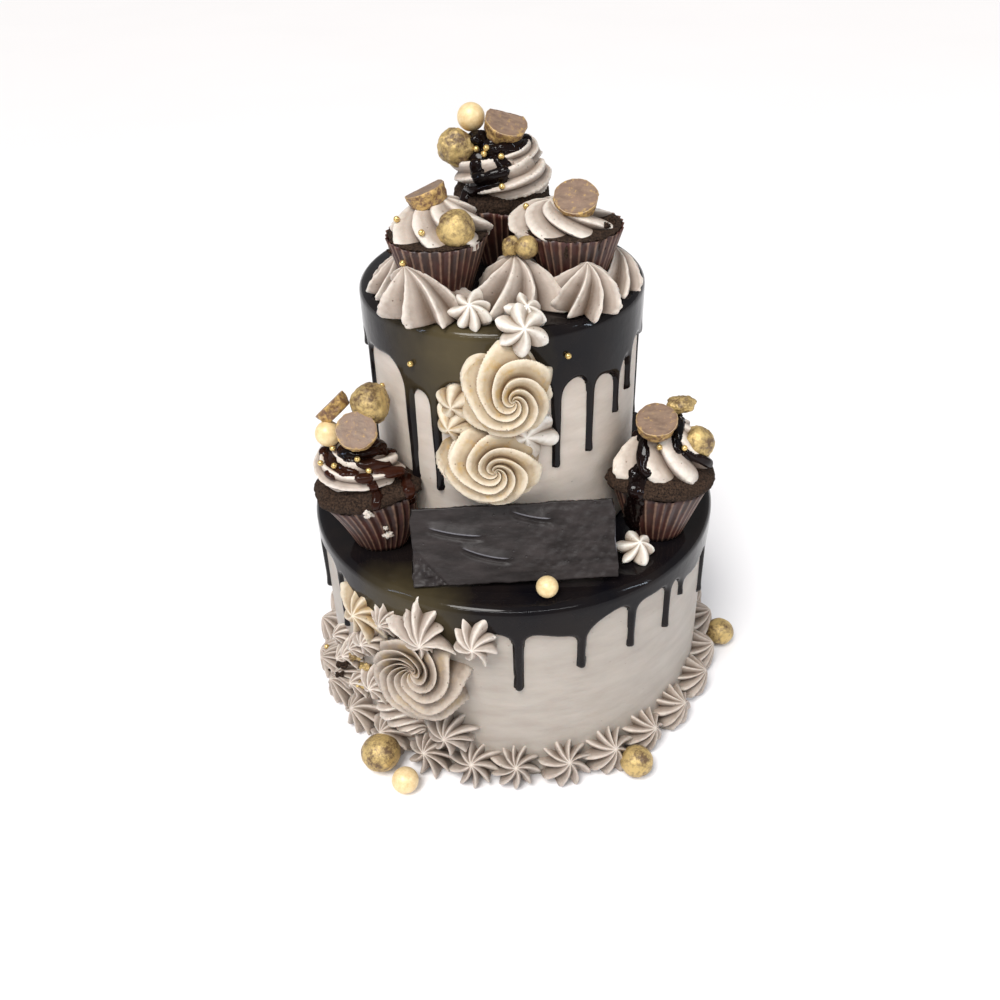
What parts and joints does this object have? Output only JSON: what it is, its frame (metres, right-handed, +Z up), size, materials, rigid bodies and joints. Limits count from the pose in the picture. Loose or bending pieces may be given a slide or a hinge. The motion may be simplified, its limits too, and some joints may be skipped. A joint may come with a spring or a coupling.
{
  "type": "tiered celebration cake",
  "caption": "Tiered round cake in pale cream with dripping chocolate, piped stars and roses, cupcakes in paper cases, gilded sweets and a leaning chocolate plaque.",
  "frame": {"origin": "centre of the lower tier's underside", "axes": "+Z up; -Y towards the front, where the plaque and the piped roses are; +X to the right seen from the front"},
  "size_m": [0.2947, 0.2824, 0.3695],
  "materials": {
    "cream": "soft satin buttercream in a pinkish grey-beige, with fine pits and smears",
    "ivory_cream": "ivory buttercream with a light gold lustre on its ridges",
    "sponge": "dull dark chocolate crumb",
    "ganache": "glossy near-black chocolate ganache",
    "dark_chocolate": "satin dark chocolate with fine pits and creases",
    "milk_chocolate": "matt milk chocolate with gold dust at the edges",
    "gilding": "rough crust brushed with gold lustre dust",
    "pearl": "smooth sugar pearl with a gold sheen",
    "paper": "dark brown pleated paper"
  },
  "bodies": {
    "root": {"lower_tier": "cream", "upper_tier": "cream", "lower_ganache": "ganache", "upper_ganache": "ganache", "foot_truffle_left": "gilding", "foot_pearl": "pearl", "foot_truffle_right": "gilding", "foot_truffle_side": "gilding", "ledge_pearl": "pearl", "plaque": "dark_chocolate", "ledge_left_case": "paper", "ledge_left_cake": "sponge", "ledge_left_swirl": "cream", "ledge_right_case": "paper", "ledge_right_cake": "sponge", "ledge_right_swirl": "cream", "top_left_case": "paper", "top_left_cake": "sponge", "top_left_swirl": "cream", "top_right_case": "paper", "top_right_cake": "sponge", "top_right_swirl": "cream", "top_middle_case": "paper", "top_middle_cake": "sponge", "top_middle_swirl": "cream", "ledge_left_truffle": "gilding", "ledge_left_pearl": "pearl", "ledge_left_cup": "milk_chocolate", "ledge_left_shell": "gilding", "ledge_right_cup": "milk_chocolate", "ledge_right_truffle": "gilding", "ledge_right_lump": "gilding", "top_left_truffle": "gilding", "top_left_cup": "milk_chocolate", "top_right_cup": "milk_chocolate", "top_middle_truffle": "gilding", "top_middle_pearl": "pearl", "top_middle_cup": "milk_chocolate", "nest_sweets": "gilding", "top_dollop_1": "cream", "top_dollop_2": "cream", "top_dollop_3": "cream", "top_dollop_4": "cream", "top_dollop_5": "cream", "top_dollop_6": "cream", "top_dollop_7": "cream", "top_dollop_8": "cream", "top_star": "cream", "rim_star": "cream", "rosette_upper": "ivory_cream", "rosette_middle": "ivory_cream", "flank_star_left": "cream", "flank_star_right": "cream", "rosette_lower": "cream", "cluster_star_left": "cream", "cluster_star_top": "cream", "cluster_star_right": "cream", "base_border": "cream", "cluster_stars_low": "cream", "ledge_star": "cream"}
  },
  "joints": []
}
